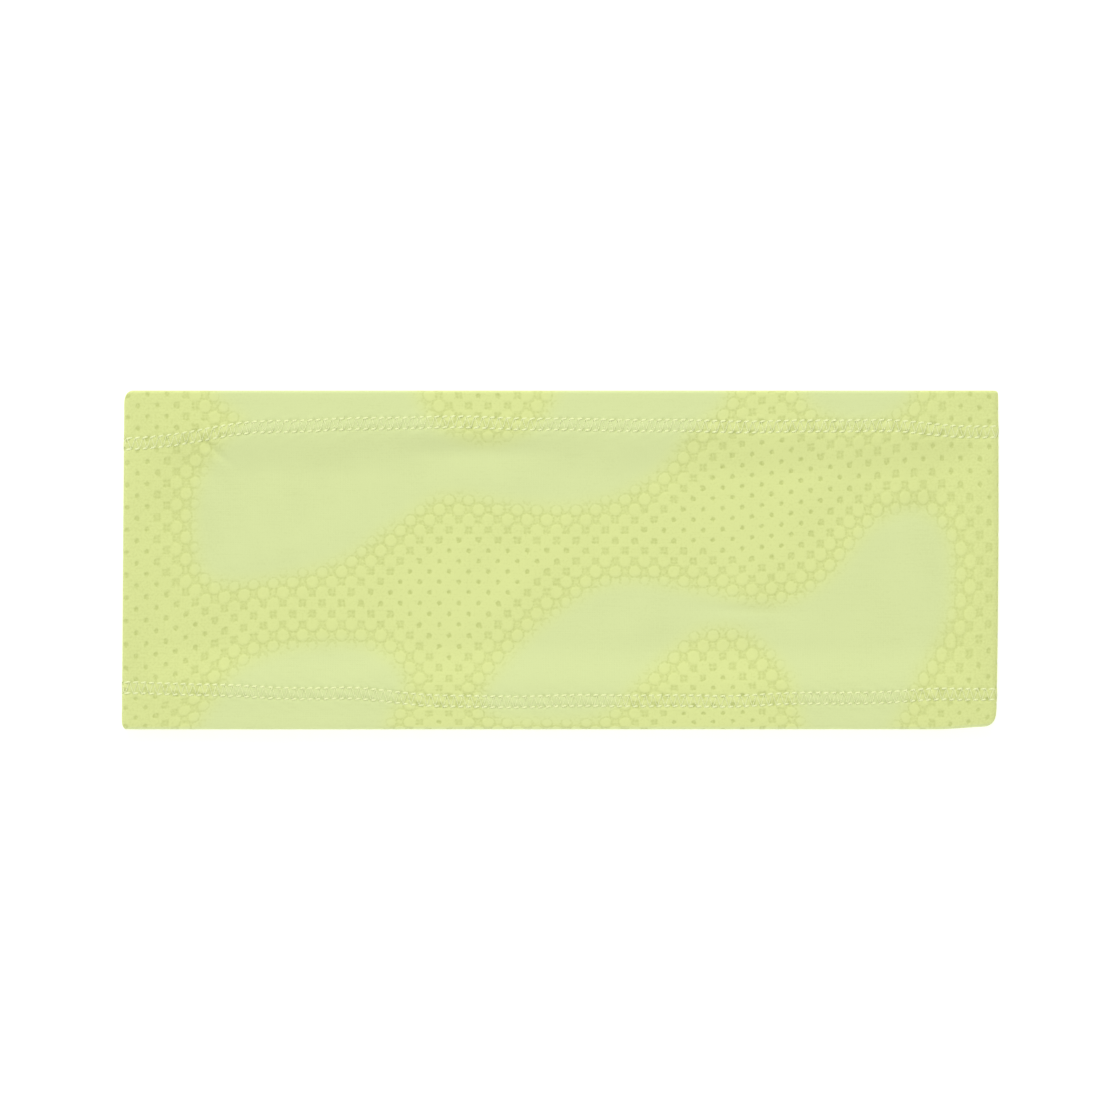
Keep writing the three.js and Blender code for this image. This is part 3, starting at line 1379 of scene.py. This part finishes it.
@dataclass(frozen=True)
class KnitFinish:
    """Two-tone jacquard knit: pale lime, yellower between the plain areas, with darker flecks."""

    plain: tuple[float, float, float] = (213, 224, 160)
    patterned: tuple[float, float, float] = (217, 226, 150)
    dark: tuple[float, float, float] = (181, 191, 112)
    inside: tuple[float, float, float] = (212, 221, 158)
    bottom_edge_highlight: tuple[float, float, float] = (231, 242, 178)  # painted highlight along the bottom edge, where the cloth turns over it
    wale: float = 0.65  # millimetres between columns of loops
    course: float = 0.55  # millimetres between rows of loops
    fold: float = 116.5  # millimetres from the front's middle to either fold, where it is duller
    roughness: float = 0.82
    halftone: Halftone = Halftone()

    def loops(self, book: ShaderBook, u: Value, v: Value) -> Value:
        """Height of the knit's loops: two leaning legs to a wale, stepped at each course.

        It is a wave across the courses, moved on by 0.45 of a course from a wale's middle to its
        edges, less a lower wave across the wales.

        Args:
            book: the material.
            u: along the loop, in millimetres.
            v: across the cloth, in millimetres.
        Returns:
            From about 0 to 1.
        """
        across = u / self.wale
        leg = book.size(across - book.nearest(across)) * 2
        rows = book.wave(v / self.course + 0.45 * leg)
        columns = book.wave(across)
        return 0.5 + 0.28 * rows - 0.2 * columns

    def material(self) -> bpy.types.Material:
        """Builds the material.

        The pattern's marks, slight unevenness and painted shade in the needle holes share one weight that
        darkens the ground.

        Returns:
            The material.
        """
        book = ShaderBook("lime_jacquard_knit")
        s, t = book.pair("weave")
        u, v = book.pair("cloth")
        outside = book.attribute("outside")
        face = book.attribute("face")
        hole = book.attribute("hole")
        cloth = book.node("ShaderNodeCombineXYZ", {}, {0: u, 1: v})
        streaks = book.node("ShaderNodeCombineXYZ", {}, {0: u * 0.12, 1: v * 2.4})
        mottle = book.noise(cloth, 0.05, 2.0)
        streak = book.noise(streaks, 1.0, 2.0)
        fuzz = book.noise(cloth, 1.6, 3.0)
        waver = book.noise(cloth, 1.1, 1.0)
        s = s + 0.12 * (fuzz - 0.5)
        t = t + 0.16 * (waver - 0.5)
        fleck, ring, dome = self.halftone.marks(book, s, t, outside)
        loops = self.loops(book, u, v)
        far = book.smooth(outside, -2.5, 5.0)
        ground = book.mixed(far, linear(*self.plain), linear(*self.patterned))
        fold = 1 - book.smooth(book.size(book.size(u) - self.fold), 4.0, 34.0)
        shade = (0.4 + 0.4 * far) * (fuzz - 0.5) + 0.3 * (streak - 0.5) + 0.22 * (mottle - 0.5)
        dark = book.larger(fleck * (0.36 + 0.5 * fuzz), ring * (0.12 + 0.38 * fuzz))
        # edge picks the bottom bight, where the ground is lifted towards a paler colour as painted highlight
        edge = book.smooth(v, -47.5, -46.5) * (1 - book.smooth(v, -44.9, -43.9))
        # hole * 0.1 darkens the needle holes as painted shade
        mark = dark * (1 - 0.25 * fold) + 0.08 * fold - dome * (0.02 + 0.14 * fuzz) + hole * 0.1
        ground = book.mixed(edge, ground, linear(*self.bottom_edge_highlight))
        darker = book.mixed(mark + shade, ground, linear(*self.dark))
        colour = book.mixed(book.smooth(face, 0.02, 0.3), linear(*self.inside), darker)
        height = 0.06 * loops + 0.14 * fuzz - 0.25 * fleck - 0.14 * ring + 0.08 * dome
        rough = self.roughness + 0.10 * (fuzz - 0.5)
        return book.finish({
            "Base Color": colour,
            "Roughness": rough,
            "Specular IOR Level": 0.3,
            "Sheen Weight": 0.4,
            "Sheen Roughness": 0.4,
            "Sheen Tint": linear(232, 246, 170),
            "Normal": book.bump(height, 0.16 * MM),
        })


@dataclass(frozen=True)
class ThreadFinish:
    """Textured polyester thread: brighter than the knit, with the twist of its plies shown in painted
    highlight and painted shade.
    """

    # pale is a painted highlight and shaded a painted shade of the same thread, mixed along each twist of
    # the plies
    pale: tuple[float, float, float] = (243, 250, 192)
    shaded: tuple[float, float, float] = (230, 238, 170)
    ply: float = 0.55  # millimetres along the thread for one twist
    roughness: float = 0.55

    def material(self) -> bpy.types.Material:
        """Builds the material.

        Returns:
            The material.
        """
        book = ShaderBook("lime_thread")
        along, turn = book.pair("ply")
        twist = 0.5 + 0.5 * book.wave(along / self.ply + turn * 2)
        colour = book.mixed(twist, linear(*self.shaded), linear(*self.pale))
        return book.finish({
            "Base Color": colour,
            "Roughness": self.roughness + 0.15 * (0.5 - twist),
            "Specular IOR Level": 0.4,
            "Sheen Weight": 0.1,
            "Normal": book.bump(twist, 0.05 * MM),
        })


@dataclass(frozen=True)
class PaperFinish:
    """The plain pale surface that the band lies on."""

    shade: float = 0.93
    glow: float = 0.3  # as if lit from behind, so that it stays white in the band's shadow

    def material(self) -> bpy.types.Material:
        """Builds the material.

        Returns:
            The material.
        """
        book = ShaderBook("pale_paper")
        return book.finish({
            "Base Color": (self.shade, self.shade, self.shade, 1.0),
            "Roughness": 0.9,
            "Specular IOR Level": 0.1,
            "Emission Color": (1.0, 1.0, 1.0, 1.0),
            "Emission Strength": self.glow,
        })


# ---- The studio ----


@dataclass(frozen=True)
class Lamp:
    """A square soft light that faces the band's middle."""

    name: str
    place: tuple[float, float, float]
    power: float
    size: float = 0.6

    def build(self) -> None:
        """Adds the light, turned from straight down until it looks at the middle."""
        lamp = bpy.data.lights.new(self.name, "AREA")
        lamp.shape = "SQUARE"
        lamp.size = self.size
        lamp.energy = self.power
        holder = bpy.data.objects.new(self.name, lamp)
        x, y, z = self.place
        holder.location = self.place
        across = math.atan2(y, x) + math.pi / 2
        holder.rotation_euler = (math.atan2(math.hypot(x, y), z), 0, across)
        bpy.context.scene.collection.objects.link(holder)


@dataclass
class Studio:
    """A pale floor, soft light from above and beyond the top hem, and a camera straight above."""

    view_width: float = 297.9 * MM  # seen at the height of the band's middle
    lens: float = 85.0
    sensor: float = 36.0
    floor_size: float = 3.0
    floor_level: float = -0.25 * MM
    sky: float = 0.5
    lamps: tuple[Lamp, ...] = (
        Lamp("key", (-0.15, 1.15, 0.75), 9.8),
        Lamp("fill", (0.02, -0.1, 0.55), 0.85, 0.4),
        Lamp("near_edge", (0.0, -1.2, 0.2), 1.7),
        Lamp("left_edge", (-1.2, 0.0, 0.06), 3.0),
        Lamp("right_edge", (1.2, 0.0, 0.06), 1.6),
    )

    def floor(self) -> None:
        """A flat sheet just below the band."""
        half = self.floor_size / 2
        low = self.floor_level
        points = np.array([(-half, -half, low), (half, -half, low), (half, half, low), (-half, half, low)])
        quad = np.array([[0, 1, 2, 3]])
        floor = new_piece("floor", points, quad, [], {}, {}, PaperFinish().material())

    def camera(self, path: LoopPath) -> None:
        """Adds a camera that looks straight down.

        Args:
            path: the loop, for the height of its middle.
        """
        data = bpy.data.cameras.new("camera")
        data.lens = self.lens
        data.sensor_width = self.sensor
        holder = bpy.data.objects.new("camera", data)
        distance = self.view_width * self.lens / self.sensor
        holder.location = (0, 0, path.middle_z + distance)
        bpy.context.scene.collection.objects.link(holder)
        bpy.context.scene.camera = holder

    def build(self, path: LoopPath) -> None:
        """Sets up the sky, the floor, the lights and the camera.

        Args:
            path: the loop that stands on the floor.
        """
        scene = bpy.context.scene
        scene.view_settings.view_transform = "Standard"
        scene.view_settings.look = "None"
        world = bpy.data.worlds.new("studio")
        scene.world = world
        world.use_nodes = True
        sky = world.node_tree.nodes["Background"]
        sky.inputs["Color"].default_value = (1, 1, 1, 1)
        sky.inputs["Strength"].default_value = self.sky
        self.floor()
        for lamp in self.lamps:
            lamp.build()
        self.camera(path)


# ---- The whole ----


def main() -> None:
    """Builds the studio and the headband, piece by piece."""
    logging.basicConfig(level=logging.INFO, format="%(message)s")
    path = LoopPath.from_frame()
    Studio().build(path)
    drape = Drape(path)
    plan = HemPlan.from_frame()
    tube = KnitTube(path, drape, PlainAreas(path), Halftone(), KnitFinish().material(), plan)
    thread_material = ThreadFinish().material()
    hems = [
        CoverstitchedHem(path, drape, "top", 1, thread_material, plan),
        CoverstitchedHem(path, drape, "bottom", -1, thread_material, plan),
    ]
    for span in spans_of(path):
        piece = tube.build(span)
        log.info("%s: %d faces", piece.name, len(piece.data.polygons))
        for hem in hems:
            for thread in Thread:
                stitching = hem.build(span, thread)
                log.info("%s: %d faces", stitching.name, len(stitching.data.polygons))


if __name__ == "__main__":
    main()
